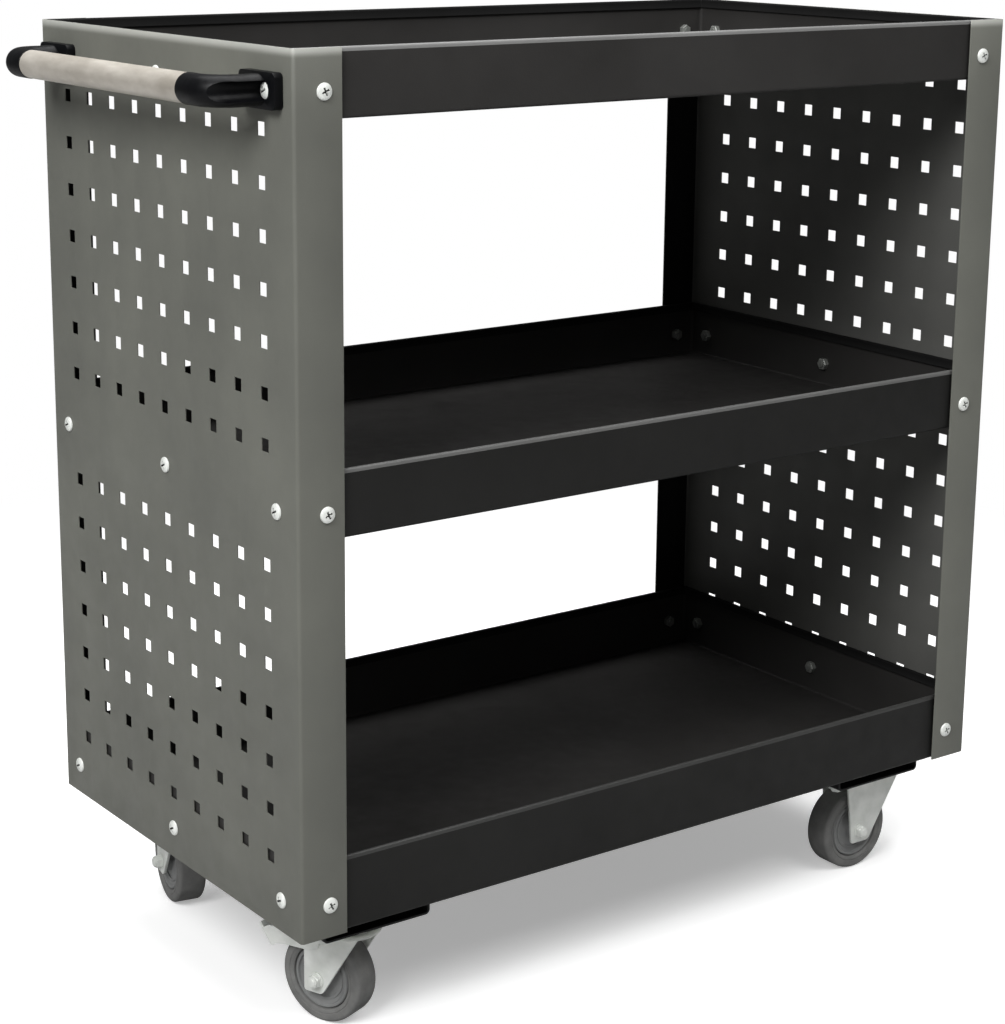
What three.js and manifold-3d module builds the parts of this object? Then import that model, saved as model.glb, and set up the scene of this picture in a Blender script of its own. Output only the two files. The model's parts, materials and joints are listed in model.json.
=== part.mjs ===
// Three-tray tool cart: two perforated side panels, three sheet-metal trays, a push
// handle on the left end, two braked swivel casters under it and two fixed casters.
// Millimetres. X runs along the cart (handle at -X), Y front (-) to back (+), Z up
// from the floor.

import * as THREE from 'three';
import * as BufferGeometryUtils from 'three/addons/utils/BufferGeometryUtils.js';
import Module from 'manifold-3d';

const wasm = await Module();
wasm.setup();

// ---- driving dimensions --------------------------------------------------------------

const GAP = 0.3; // clearance between pieces that touch
const OVERSHOOT = 10; // how far a cutting solid runs past what it cuts

const BODY_LENGTH = 706; // outer face to outer face of the side panels
const BODY_DEPTH = 392; // front flange to rear flange
const BODY_TOP = 772; // top of the panels above the floor
const BODY_BOTTOM = 112; // bottom edge of the panels above the floor
const SHEET = 1.2; // panel and tray steel
const FLANGE = 40; // width of the panels' front and rear flanges
const PANEL_BEND = 3; // outer radius of the panels' bends

const PEG_PITCH = 38; // square perforation, 38 mm pitch
const PEG_HOLE = 10;
const PEG_COLUMNS = 9;
const PEG_ROWS = 7; // rows in each of the two fields
const PEG_TOP_FIELD = 714; // height of the upper field's first row
const PEG_LOWER_FIELD = 396; // height of the lower field's first row

// name, height of the underside, height of the walls, height of its screws
const TRAYS = [
  { name: 'top', base: 722, wall: 50, screws: 742 },
  { name: 'middle', base: 419, wall: 52, screws: 440 },
  { name: 'bottom', base: 112 + GAP, wall: 60, screws: 138 },
];
const TRAY_END_GAP = 0.9; // clearance between a tray's end walls and the panels
const TRAY_SIDE_GAP = 2; // clearance between a tray's long walls and the flanges
const TRAY_CORNER = 4.5; // outer radius of the tray's upright corners
const HEM = 3.6; // thickness of the folded top edge
const HEM_DROP = 8; // how far the fold reaches down

const SIDE_SCREW_Y = 168; // side screws sit at -168, 0 and +168
const FLANGE_SCREW_INSET = 25; // flange screws, in from the panel's outer face
const SCREW_SHANK = 2.9;
const SCREW_HOLE = 3.8; // corner radius of the six-sided clearance hole
const SCREW_HEAD = 6.2; // radius of the pan head
const SCREW_RISE = 2.6; // height of the pan head
const SCREW_CROWN = 0.72; // top of the head as a share of its radius
const SCREW_END = 1.5; // thread that stands past the nut
const SCREW_SIDES = 8;
const NUT_RADIUS = 5.7;
const NUT_DEPTH = 4.6;
const HOLE_SIDES = 6;

const HANDLE_OFFSET = 42; // panel face to the tube's axis
const HANDLE_Z = 742;
const HANDLE_TUBE = 11; // tube radius
const HANDLE_TUBE_WALL = 1.5;
const HANDLE_HALF = 125.5; // half length of the tube
const HANDLE_SPIGOT = 8; // depth each bracket's spigot goes into the tube
const SPIGOT_CLEARANCE = 0.5; // round the spigot, inside the tube
const HANDLE_ARM = 11.4; // radius of the bracket's arm
const HANDLE_ARM_Y = 161; // where the arm meets the panel, from the middle
const HANDLE_FOOT_START = 135; // foot's near end from the middle
const HANDLE_FOOT_END = 183.5; // foot's far end
const HANDLE_FOOT_HEIGHT = 26;
const HANDLE_FOOT_THICK = 7;
const HANDLE_RECESS = 3; // depth of the recess round the screw
const RECESS_CLEARANCE = 1.2; // recess round the screw's head
const DRIVER_WAY = 60; // clear way in front of the screw
const ELBOW_BEND = 18; // radius of the bracket's bend, along its middle

const CHANNEL_WIDTH = 98; // stiffening channels that carry the casters
const CHANNEL_INSET = 34; // channel's outer edge from the panel's outer face
const CHANNEL_END = 24; // set back from the front and rear
const CHANNEL_DEPTH = 18;
const CHANNEL_SHEET = 2;

const CASTER_INSET = 81; // caster centre from the panel's outer face
const CASTER_Y = 132; // caster centre from the middle
const PLATE_LENGTH = 94;
const PLATE_WIDTH = 64;
const PLATE_THICK = 2.5;
const PLATE_TOP = BODY_BOTTOM - CHANNEL_DEPTH - GAP;
const PLATE_CORNER = 6;
const PLATE_BOLT_X = 37;
const PLATE_BOLT_Y = 23;

const WHEEL_RADIUS = 37.5; // 75 mm wheel, 25 mm wide
const WHEEL_WIDTH = 25;
const HUB_RADIUS = 26;
const TYRE_GAP = 0.6; // between the hub's and the tyre's flat-sided circles
const HUB_BOSS = 14.6; // half length of the hub's boss
const AXLE_RADIUS = 3.9;
const AXLE_HOLE = 4.5;
const AXLE_HEX = 5.9; // corner radius of the bolt's head and nut
const AXLE_HEAD = 4.5; // thickness of the bolt's head
const AXLE_NUT = 5.5;
const AXLE_END = 2; // thread that stands past the nut
const HUB_BORE = 4.3;
const TRAIL = 18; // swivel axis to axle
const FORK_HALF = 17.5; // outer faces of the fork's legs
const FORK_SHEET = 2.4;
const LEG_END = 26.3; // height of the legs' flat lower ends
const LEG_CORNER = 2; // cut across the lower corners
const LEG_LEAN = 0.62; // run of a leg's leading edge for each millimetre of height
const SWIVEL_LEG = { back: 30.2, foot: 30.2, toe: 12.7 }; // edges at the top and the end
const FIXED_LEG = { back: 17.5, foot: 9, toe: -11.9 };
const FIXED_REACH = 46; // furthest that a fixed fork's leading edge goes
const FIXED_RIVETS = [-30, 2]; // holes along the fixed fork's web
const RIVET_HOLE = 3;
const CROWN_RADIUS = 27;
const CROWN_TOP = 82.6; // swivel fork's crown, above the floor
const KINGPIN_RADIUS = 5;
const KINGPIN_HOLE = 5.4;
const KINGPIN_HEAD = 9.2;
const KINGPIN_RISE = 3.6; // height of the kingpin's head
const RACE_RADIUS = 24;
const FRONT_SWIVEL = 111; // heading of each wheel's trail, degrees from +X
const REAR_SWIVEL = 79;

const BRAKE_PIVOT_S = 21; // brake pivot, behind the swivel axis and above the floor
const BRAKE_PIVOT_Z = 71;
const BRAKE_CHEEK = 19.9; // outer faces of the pedal's cheeks
const BRAKE_SHEET = 2;
const BRAKE_PIN = 2.4;
const BRAKE_PIN_HOLE = 2.8;
const PEDAL_REACH = 73; // swivel axis to the brake pedal's tip

// Outlines of the brake pedal's parts: distance behind the swivel axis, height.
const CHEEK_OUTLINE = [
  [14, 76], [15, 66], [24, 62.5], [42, 61.5], [54, 60], [60, 57.9], [69, 70.2],
  [64, 73.2], [52, 75], [30, 78.5], [20, 79],
];
const WEB_OUTLINE = [[31.2, 76.3], [52, 73], [52, 75], [31.2, 78.3]];
const TREAD_OUTLINE = [[59.5, 57.5], [61.5, 56.5], [PEDAL_REACH, 72.5], [71.5, 74.5]];
const SHOE_OUTLINE = [[38, 74.2], [45, 70.5], [48.5, 68.3], [50.5, 74.4], [38, 76.2]];
const SHOE_HALF = 11;

// Half sections of the wheel's parts: radius, distance from the wheel's middle plane.
const HUB_SECTION = [[HUB_BORE, HUB_BOSS], [9, HUB_BOSS], [10, 8.5], [HUB_RADIUS, 11.3]];
const TYRE_SECTION = [
  [HUB_RADIUS + TYRE_GAP, WHEEL_WIDTH / 2], [34.9, WHEEL_WIDTH / 2], [WHEEL_RADIUS, 8.5],
];

// The origin is the middle of the whole cart's box, at floor level.
const SCREW_REACH = GAP + SCREW_RISE;
const HANDLE_REACH = HANDLE_OFFSET + HANDLE_ARM;
const SHIFT_X = (HANDLE_REACH - SCREW_REACH) / 2;
const rearHeading = THREE.MathUtils.degToRad(REAR_SWIVEL);
const REAR_REACH = CASTER_Y + PEDAL_REACH * Math.sin(rearHeading)
  + BRAKE_CHEEK * Math.cos(rearHeading) - BODY_DEPTH / 2;
const SHIFT_Y = (SCREW_REACH - REAR_REACH) / 2;

// ---- materials -----------------------------------------------------------------------

const finish = (color, roughness, metalness) =>
  new THREE.MeshStandardMaterial({ color, roughness, metalness });

const PANEL_GREY = finish(0x6f7069, 0.5, 0.1);
const TRAY_BLACK = finish(0x2a2a2a, 0.5, 0.1);
const ZINC = finish(0xc9ccc8, 0.35, 0.9);
const HANDLE_SILVER = finish(0xc4beb3, 0.4, 0.7);
const BRACKET_BLACK = finish(0x17181a, 0.4, 0);
const HUB_GREY = finish(0x77787a, 0.6, 0);
const TYRE_GREY = finish(0x6c6d6e, 0.8, 0);

// ---- solids --------------------------------------------------------------------------

const X_AXIS = new THREE.Vector3(1, 0, 0);
const Y_AXIS = new THREE.Vector3(0, 1, 0);
const Z_AXIS = new THREE.Vector3(0, 0, 1);

function toSolid(geometry) {
  const bare = geometry.clone();
  bare.deleteAttribute('normal');
  bare.deleteAttribute('uv');
  const merged = BufferGeometryUtils.mergeVertices(bare, 1e-4);
  return new wasm.Manifold(new wasm.Mesh({
    numProp: 3,
    vertProperties: new Float32Array(merged.attributes.position.array),
    triVerts: new Uint32Array(merged.index.array),
  }));
}

function toGeometry(solid) {
  const mesh = solid.getMesh();
  const geometry = new THREE.BufferGeometry();
  geometry.setAttribute('position', new THREE.BufferAttribute(mesh.vertProperties, 3));
  geometry.setIndex(new THREE.BufferAttribute(mesh.triVerts, 1));
  const flat = geometry.toNonIndexed();
  flat.computeVertexNormals();
  return flat;
}

function join(solids) {
  return solids.reduce((sum, solid) => sum.add(solid));
}

function cut(solid, tools) {
  return tools.length ? solid.subtract(join(tools)) : solid;
}

function box(low, high) {
  const size = high.map((value, k) => value - low[k]);
  const geometry = new THREE.BoxGeometry(...size);
  geometry.translate(...low.map((value, k) => value + size[k] / 2));
  return toSolid(geometry);
}

// A cylinder from one point along an axis.
function rod(start, axis, length, radius, sides) {
  const geometry = new THREE.CylinderGeometry(radius, radius, length, sides);
  geometry.translate(0, length / 2, 0);
  geometry.applyQuaternion(new THREE.Quaternion().setFromUnitVectors(Y_AXIS, axis));
  geometry.translate(...start);
  return toSolid(geometry);
}

// A profile of [radius, height] points turned about an axis through start.
function turned(profile, start, axis, sides) {
  const points = profile.map(([radius, height]) => new THREE.Vector2(radius, height));
  const geometry = new THREE.LatheGeometry(points, sides);
  geometry.applyQuaternion(new THREE.Quaternion().setFromUnitVectors(Y_AXIS, axis));
  geometry.translate(...start);
  return toSolid(geometry);
}

// An outline in plan, raised from low to high.
function upright(shape, low, high, curveSegments = 4) {
  const geometry = new THREE.ExtrudeGeometry(shape, {
    depth: high - low, bevelEnabled: false, curveSegments,
  });
  geometry.translate(0, 0, low);
  return toSolid(geometry);
}

// An outline in the XZ plane, from y = low to y = high.
function sideways(shape, low, high, curveSegments = 4) {
  const geometry = new THREE.ExtrudeGeometry(shape, {
    depth: high - low, bevelEnabled: false, curveSegments,
  });
  geometry.rotateX(Math.PI / 2);
  geometry.translate(0, high, 0);
  return toSolid(geometry);
}

function polygon(points) {
  return new THREE.Shape(points.map(([x, y]) => new THREE.Vector2(x, y)));
}

function roundedRect(halfX, halfY, radius) {
  const shape = new THREE.Shape();
  shape.moveTo(-halfX + radius, -halfY);
  shape.lineTo(halfX - radius, -halfY);
  shape.absarc(halfX - radius, -halfY + radius, radius, -Math.PI / 2, 0, false);
  shape.lineTo(halfX, halfY - radius);
  shape.absarc(halfX - radius, halfY - radius, radius, 0, Math.PI / 2, false);
  shape.lineTo(-halfX + radius, halfY);
  shape.absarc(-halfX + radius, halfY - radius, radius, Math.PI / 2, Math.PI, false);
  shape.lineTo(-halfX, -halfY + radius);
  shape.absarc(-halfX + radius, -halfY + radius, radius, Math.PI, 1.5 * Math.PI, false);
  return shape;
}

function named(name, solid, material) {
  const mesh = new THREE.Mesh(toGeometry(solid), material);
  mesh.name = name;
  return mesh;
}

// ---- where the screws go -------------------------------------------------------------

const SIDES = [{ name: 'left', sign: -1 }, { name: 'right', sign: 1 }];
const ENDS = [{ name: 'front', sign: -1 }, { name: 'rear', sign: 1 }];

// Every screw: its place on the outer face and the direction its head looks.
function screwPlaces() {
  const places = [];
  for (const side of SIDES) {
    const faceX = side.sign * BODY_LENGTH / 2;
    for (const tray of TRAYS) {
      for (const end of ENDS) {
        const flangeX = faceX - side.sign * FLANGE_SCREW_INSET;
        places.push({
          name: `flange_screw_${side.name}_${tray.name}_${end.name}`,
          at: new THREE.Vector3(flangeX, end.sign * BODY_DEPTH / 2, tray.screws),
          out: Y_AXIS.clone().multiplyScalar(end.sign),
        });
      }
      for (const y of [-SIDE_SCREW_Y, 0, SIDE_SCREW_Y]) {
        const holdsHandle = side.name === 'left' && tray.name === 'top' && y !== 0;
        const place = y === 0 ? 'centre' : (y < 0 ? 'front' : 'rear');
        places.push({
          name: holdsHandle ? `handle_screw_${place}`
            : `side_screw_${side.name}_${tray.name}_${place}`,
          at: new THREE.Vector3(faceX, y, tray.screws),
          out: X_AXIS.clone().multiplyScalar(side.sign),
          handle: holdsHandle,
          centre: y === 0,
        });
      }
    }
  }
  return places;
}

const SCREWS = screwPlaces();

function screwHoles(places) {
  return places.map(({ at, out }) => rod(at.clone().addScaledVector(out, -OVERSHOOT).toArray(),
    out, 2 * OVERSHOOT, SCREW_HOLE, HOLE_SIDES));
}

// Pan head outside, shank through panel and tray wall, nut inside.
function screwSolid({ at, out, handle }) {
  const seat = GAP + (handle ? HANDLE_FOOT_THICK - HANDLE_RECESS + GAP : 0);
  const inside = -(2 * SHEET + (out.y ? TRAY_SIDE_GAP : TRAY_END_GAP) + GAP);
  const tip = inside - NUT_DEPTH - SCREW_END;
  const head = turned([
    [0, tip], [SCREW_SHANK, tip], [SCREW_SHANK, seat], [SCREW_HEAD, seat],
    [SCREW_HEAD * SCREW_CROWN, seat + SCREW_RISE], [0, seat + SCREW_RISE],
  ], at.toArray(), out, SCREW_SIDES);
  const nutStart = at.clone().addScaledVector(out, inside).toArray();
  const nut = rod(nutStart, out.clone().negate(), NUT_DEPTH, NUT_RADIUS, 6);
  return head.add(nut);
}

// ---- side panels ---------------------------------------------------------------------

// Channel section in plan: the web faces out, both flanges turn in towards the cart.
function panelOutline(sign) {
  const outer = BODY_LENGTH / 2;
  const half = BODY_DEPTH / 2;
  const inner = outer - FLANGE;
  const bend = PANEL_BEND;
  const inside = bend - SHEET;
  const shape = new THREE.Shape();
  shape.moveTo(inner, -half);
  shape.lineTo(outer - bend, -half);
  shape.absarc(outer - bend, -half + bend, bend, -Math.PI / 2, 0, false);
  shape.lineTo(outer, half - bend);
  shape.absarc(outer - bend, half - bend, bend, 0, Math.PI / 2, false);
  shape.lineTo(inner, half);
  shape.lineTo(inner, half - SHEET);
  shape.lineTo(outer - bend, half - SHEET);
  shape.absarc(outer - bend, half - bend, inside, Math.PI / 2, 0, true);
  shape.lineTo(outer - SHEET, -half + bend);
  shape.absarc(outer - bend, -half + bend, inside, 0, -Math.PI / 2, true);
  shape.lineTo(inner, -half + SHEET);
  if (sign > 0) return shape;
  return new THREE.Shape(shape.getPoints(2).map((p) => new THREE.Vector2(-p.x, p.y)).reverse());
}

function pegHoles(sign) {
  const holes = [];
  const face = sign * BODY_LENGTH / 2;
  const half = PEG_HOLE / 2;
  for (const field of [PEG_TOP_FIELD, PEG_LOWER_FIELD]) {
    for (let row = 0; row < PEG_ROWS; row += 1) {
      for (let column = 0; column < PEG_COLUMNS; column += 1) {
        const y = (column - (PEG_COLUMNS - 1) / 2) * PEG_PITCH;
        const z = field - row * PEG_PITCH;
        holes.push(box([face - OVERSHOOT, y - half, z - half],
          [face + OVERSHOOT, y + half, z + half]));
      }
    }
  }
  return holes;
}

function sidePanel({ name, sign }) {
  const sheet = upright(panelOutline(sign), BODY_BOTTOM, BODY_TOP, 2);
  const screws = SCREWS.filter(({ at }) => Math.sign(at.x) === sign);
  const solid = cut(cut(sheet, pegHoles(sign)), screwHoles(screws));
  return named(`side_panel_${name}`, solid, PANEL_GREY);
}

// ---- trays ---------------------------------------------------------------------------

function tray({ name, base, wall, screws }) {
  const halfX = BODY_LENGTH / 2 - SHEET - TRAY_END_GAP;
  const halfY = BODY_DEPTH / 2 - SHEET - TRAY_SIDE_GAP;
  const top = base + wall;
  const outline = (inset) => roundedRect(halfX - inset, halfY - inset, TRAY_CORNER - inset);
  const body = upright(outline(0), base, top, 2);
  const inside = upright(outline(SHEET), base + SHEET, top - HEM_DROP, 2);
  const mouth = upright(outline(HEM), top - HEM_DROP - OVERSHOOT, top + OVERSHOOT, 2);
  const places = SCREWS.filter(({ at }) => at.z === screws);
  const solid = cut(cut(body, [inside, mouth]), screwHoles(places));
  return named(`tray_${name}`, solid, TRAY_BLACK);
}

// ---- caster channels -----------------------------------------------------------------

function channelCentre(sign) {
  return sign * (BODY_LENGTH / 2 - CHANNEL_INSET - CHANNEL_WIDTH / 2);
}

function casterCentre(sign) {
  return sign * (BODY_LENGTH / 2 - CASTER_INSET);
}

// The bolts' places on a caster plate, from its centre.
const PLATE_BOLTS = [[-1, -1], [-1, 1], [1, -1], [1, 1]].map(
  ([a, b]) => [a * PLATE_BOLT_X, b * PLATE_BOLT_Y]);

function casterChannel({ name, sign }) {
  const x = channelCentre(sign);
  const half = CHANNEL_WIDTH / 2;
  const length = BODY_DEPTH / 2 - CHANNEL_END;
  const low = BODY_BOTTOM - CHANNEL_DEPTH;
  const body = box([x - half, -length, low], [x + half, length, BODY_BOTTOM]);
  const inside = box(
    [x - half + CHANNEL_SHEET, -length - OVERSHOOT, low + CHANNEL_SHEET],
    [x + half - CHANNEL_SHEET, length + OVERSHOOT, BODY_BOTTOM + OVERSHOOT]);
  const bolts = ENDS.flatMap((end) => PLATE_BOLTS.map(([dx, dy]) => rod(
    [casterCentre(sign) + dx, end.sign * CASTER_Y + dy, low - OVERSHOOT], Z_AXIS,
    2 * OVERSHOOT, SCREW_HOLE, HOLE_SIDES)));
  return named(`caster_channel_${name}`, cut(body, [inside, ...bolts]), TRAY_BLACK);
}

// ---- handle --------------------------------------------------------------------------

const HANDLE_X = -BODY_LENGTH / 2 - HANDLE_OFFSET;

function handleTube() {
  const outer = rod([HANDLE_X, -HANDLE_HALF, HANDLE_Z], Y_AXIS, 2 * HANDLE_HALF, HANDLE_TUBE, 16);
  const bore = rod([HANDLE_X, -HANDLE_HALF - OVERSHOOT, HANDLE_Z], Y_AXIS,
    2 * (HANDLE_HALF + OVERSHOOT), HANDLE_TUBE - HANDLE_TUBE_WALL, 16);
  return named('handle_tube', outer.subtract(bore), HANDLE_SILVER);
}

// Spigot in the tube, an arm that sweeps in to the panel, and a foot. The way in to the
// screw leaves the arm's outer side open.
function handleBracket({ name, sign }) {
  const face = -BODY_LENGTH / 2 - GAP;
  const along = (x, distance) => new THREE.Vector3(x, sign * distance, HANDLE_Z);
  const start = HANDLE_HALF + GAP;
  const bendStart = HANDLE_ARM_Y - ELBOW_BEND;
  const path = new THREE.CurvePath();
  path.add(new THREE.LineCurve3(
    along(HANDLE_X, start), along(HANDLE_X, bendStart)));
  path.add(new THREE.QuadraticBezierCurve3(along(HANDLE_X, bendStart),
    along(HANDLE_X, HANDLE_ARM_Y), along(HANDLE_X + ELBOW_BEND, HANDLE_ARM_Y)));
  path.add(new THREE.LineCurve3(
    along(HANDLE_X + ELBOW_BEND, HANDLE_ARM_Y), along(face + OVERSHOOT, HANDLE_ARM_Y)));
  const section = new THREE.Shape();
  section.absarc(0, 0, HANDLE_ARM, 0, 2 * Math.PI, false);
  const arm = toSolid(new THREE.ExtrudeGeometry(section, {
    steps: 9, bevelEnabled: false, extrudePath: path, curveSegments: 7,
  }));
  const footLow = HANDLE_Z - HANDLE_FOOT_HEIGHT / 2;
  const footYs = [sign * HANDLE_FOOT_START, sign * HANDLE_FOOT_END].sort((a, b) => a - b);
  const footTop = footLow + HANDLE_FOOT_HEIGHT;
  const foot = box([face - HANDLE_FOOT_THICK, footYs[0], footLow], [face + 1, footYs[1], footTop]);
  const behind = box([face, -BODY_DEPTH, footLow - OVERSHOOT],
    [face + 2 * OVERSHOOT, BODY_DEPTH, footTop + OVERSHOOT]);
  const spigot = rod([HANDLE_X, sign * (HANDLE_HALF - HANDLE_SPIGOT), HANDLE_Z],
    Y_AXIS.clone().multiplyScalar(sign), HANDLE_SPIGOT + GAP + 1,
    HANDLE_TUBE - HANDLE_TUBE_WALL - SPIGOT_CLEARANCE, 16);
  const recess = rod([face - HANDLE_FOOT_THICK + HANDLE_RECESS, sign * SIDE_SCREW_Y, HANDLE_Z],
    X_AXIS.clone().negate(), DRIVER_WAY, SCREW_HEAD + RECESS_CLEARANCE, 12);
  const hole = rod([face - 2 * OVERSHOOT, sign * SIDE_SCREW_Y, HANDLE_Z], X_AXIS,
    3 * OVERSHOOT, SCREW_HOLE, HOLE_SIDES);
  const solid = cut(join([arm, foot, spigot]), [behind, recess, hole]);
  return named(`handle_bracket_${name}`, solid, BRACKET_BLACK);
}

// ---- casters -------------------------------------------------------------------------
// Each caster is built about its own swivel axis: x is the way the wheel trails, y is
// along the axle, z is the height above the floor.

function plateSolid() {
  const plate = upright(roundedRect(PLATE_LENGTH / 2, PLATE_WIDTH / 2, PLATE_CORNER),
    PLATE_TOP - PLATE_THICK, PLATE_TOP, 1);
  const bolts = PLATE_BOLTS.map(([x, y]) => rod(
    [x, y, PLATE_TOP - OVERSHOOT], Z_AXIS, 2 * OVERSHOOT, SCREW_HOLE, HOLE_SIDES));
  return cut(plate, bolts);
}

// Side outline of a fork leg: trailing edge, flat lower end, slanting leading edge.
function legOutline({ back, foot, toe }, top, reach) {
  const shape = new THREE.Shape();
  shape.moveTo(back, top);
  shape.lineTo(foot, LEG_END + LEG_CORNER);
  shape.lineTo(foot - LEG_CORNER, LEG_END);
  shape.lineTo(toe + LEG_CORNER, LEG_END);
  shape.lineTo(toe - LEG_CORNER * LEG_LEAN, LEG_END + LEG_CORNER);
  shape.lineTo(-reach, LEG_END + (toe + reach) / LEG_LEAN);
  shape.lineTo(-reach, top);
  return shape;
}

function forkLegs(leg, top, reach) {
  return [-1, 1].map((side) => {
    const ys = [side * FORK_HALF, side * (FORK_HALF - FORK_SHEET)].sort((a, b) => a - b);
    return sideways(legOutline(leg, top, reach), ys[0], ys[1], 1);
  });
}

// A hole through both legs.
function crossHole(x, z, radius) {
  const half = FORK_HALF + OVERSHOOT;
  return rod([x, -half, z], Y_AXIS, 2 * half, radius, 8);
}

// The legs start where the crown's circle meets their outer faces.
function swivelFork() {
  const reach = Math.sqrt(CROWN_RADIUS ** 2 - FORK_HALF ** 2);
  const low = CROWN_TOP - FORK_SHEET;
  const crown = rod([0, 0, low], Z_AXIS, FORK_SHEET, CROWN_RADIUS, 20);
  const saddle = box([-reach, -FORK_HALF, low], [SWIVEL_LEG.back, FORK_HALF, CROWN_TOP]);
  const kingpin = rod([0, 0, low - OVERSHOOT], Z_AXIS, 2 * OVERSHOOT, KINGPIN_HOLE, 12);
  return cut(join([crown, saddle, ...forkLegs(SWIVEL_LEG, CROWN_TOP, reach)]), [
    crossHole(TRAIL, WHEEL_RADIUS, AXLE_HOLE), kingpin,
    crossHole(BRAKE_PIVOT_S, BRAKE_PIVOT_Z, BRAKE_PIN_HOLE),
  ]);
}

// The fixed caster's fork reaches its plate directly and stands over the wheel.
function fixedFork() {
  const top = PLATE_TOP - PLATE_THICK - GAP;
  const web = box([-FIXED_REACH, -FORK_HALF, top - FORK_SHEET], [FIXED_LEG.back, FORK_HALF, top]);
  const rivets = FIXED_RIVETS.map((x) => rod(
    [x, 0, top - OVERSHOOT], Z_AXIS, 2 * OVERSHOOT, RIVET_HOLE, HOLE_SIDES));
  return cut(join([web, ...forkLegs(FIXED_LEG, top, FIXED_REACH)]),
    [crossHole(0, WHEEL_RADIUS, AXLE_HOLE), ...rivets]);
}

function raceSolid() {
  const low = CROWN_TOP + GAP;
  const high = PLATE_TOP - PLATE_THICK - GAP;
  return turned([
    [KINGPIN_HOLE, low], [RACE_RADIUS - 2, low], [RACE_RADIUS, low + 2],
    [RACE_RADIUS - 1, high], [KINGPIN_HOLE, high], [KINGPIN_HOLE, low],
  ], [0, 0, 0], Z_AXIS, 18);
}

function kingpinSolid() {
  const low = CROWN_TOP - FORK_SHEET - GAP;
  const high = PLATE_TOP - PLATE_THICK - GAP;
  return turned([
    [0, low - KINGPIN_RISE], [KINGPIN_HEAD - 1.2, low - KINGPIN_RISE], [KINGPIN_HEAD, low],
    [KINGPIN_RADIUS, low], [KINGPIN_RADIUS, high], [0, high],
  ], [0, 0, 0], Z_AXIS, 12);
}

// A half section and its mirror image, turned about the axle as one closed ring.
function wheelRing(section, sides) {
  const mirrored = section.map(([radius, height]) => [radius, -height]);
  const profile = [...mirrored, ...[...section].reverse(), mirrored[0]];
  return turned(profile, [0, 0, WHEEL_RADIUS], Y_AXIS, sides);
}

// Hex head on one leg, nut on the other, shank through both.
function axleSolid() {
  const outside = FORK_HALF + GAP;
  const shank = rod([0, -outside - 1, WHEEL_RADIUS], Y_AXIS,
    2 * outside + 1 + AXLE_NUT + AXLE_END, AXLE_RADIUS, 8);
  const head = rod([0, -outside - AXLE_HEAD, WHEEL_RADIUS], Y_AXIS, AXLE_HEAD, AXLE_HEX, 6);
  const nut = rod([0, outside, WHEEL_RADIUS], Y_AXIS, AXLE_NUT, AXLE_HEX, 6);
  return join([shank, head, nut]);
}

// Pressed pedal: two cheeks outside the fork, a web and a slanted tread that join them, a
// shoe over the tyre and a short pivot pin on each cheek.
function brakeSolid() {
  const inner = BRAKE_CHEEK - BRAKE_SHEET;
  const legInside = FORK_HALF - FORK_SHEET;
  const cheeks = [-1, 1].map((side) => {
    const ys = [side * BRAKE_CHEEK, side * inner].sort((a, b) => a - b);
    return sideways(polygon(CHEEK_OUTLINE), ys[0], ys[1]);
  });
  const pins = [-1, 1].map((side) => rod(
    [BRAKE_PIVOT_S, side * (legInside + GAP), BRAKE_PIVOT_Z],
    Y_AXIS.clone().multiplyScalar(side), inner - legInside, BRAKE_PIN, 8));
  return join([
    ...cheeks, ...pins,
    sideways(polygon(WEB_OUTLINE), -BRAKE_CHEEK, BRAKE_CHEEK),
    sideways(polygon(TREAD_OUTLINE), -BRAKE_CHEEK, BRAKE_CHEEK),
    sideways(polygon(SHOE_OUTLINE), -SHOE_HALF, SHOE_HALF),
  ]);
}

function wheelParts(name, x) {
  const group = new THREE.Group();
  group.position.x = x;
  group.add(named(`${name}_tyre`, wheelRing(TYRE_SECTION, 28), TYRE_GREY));
  group.add(named(`${name}_hub`, wheelRing(HUB_SECTION, 20), HUB_GREY));
  group.add(named(`${name}_axle_bolt`, axleSolid(), ZINC));
  return group;
}

function swivelCaster(name, heading) {
  const caster = new THREE.Group();
  caster.add(named(`${name}_plate`, plateSolid(), ZINC));
  caster.add(named(`${name}_bearing_ring`, raceSolid(), ZINC));
  caster.add(named(`${name}_kingpin`, kingpinSolid(), ZINC));
  const turning = new THREE.Group();
  turning.rotation.z = THREE.MathUtils.degToRad(heading);
  turning.add(named(`${name}_fork`, swivelFork(), ZINC));
  turning.add(named(`${name}_brake_pedal`, brakeSolid(), ZINC));
  turning.add(wheelParts(name, TRAIL));
  caster.add(turning);
  return caster;
}

function fixedCaster(name) {
  const caster = new THREE.Group();
  caster.add(named(`${name}_plate`, plateSolid(), ZINC));
  const turning = new THREE.Group();
  turning.rotation.z = Math.PI;
  turning.add(named(`${name}_fork`, fixedFork(), ZINC));
  turning.add(wheelParts(name, 0));
  caster.add(turning);
  return caster;
}

// ---- assembly ------------------------------------------------------------------------

const cart = new THREE.Group();
cart.position.set(SHIFT_X, SHIFT_Y, 0);

SIDES.forEach((side) => cart.add(sidePanel(side)));
TRAYS.forEach((entry) => cart.add(tray(entry)));
SIDES.forEach((side) => cart.add(casterChannel(side)));
cart.add(handleTube());
ENDS.forEach((end) => cart.add(handleBracket(end)));
SCREWS.filter(({ centre }) => !centre)
  .forEach((place) => cart.add(named(place.name, screwSolid(place), ZINC)));

const headings = { front: FRONT_SWIVEL, rear: REAR_SWIVEL };
for (const end of ENDS) {
  const swivel = swivelCaster(`swivel_${end.name}`, headings[end.name]);
  swivel.position.set(casterCentre(-1), end.sign * CASTER_Y, 0);
  const fixed = fixedCaster(`fixed_${end.name}`);
  fixed.position.set(casterCentre(1), end.sign * CASTER_Y, 0);
  cart.add(swivel, fixed);
}

export default cart;
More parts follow.
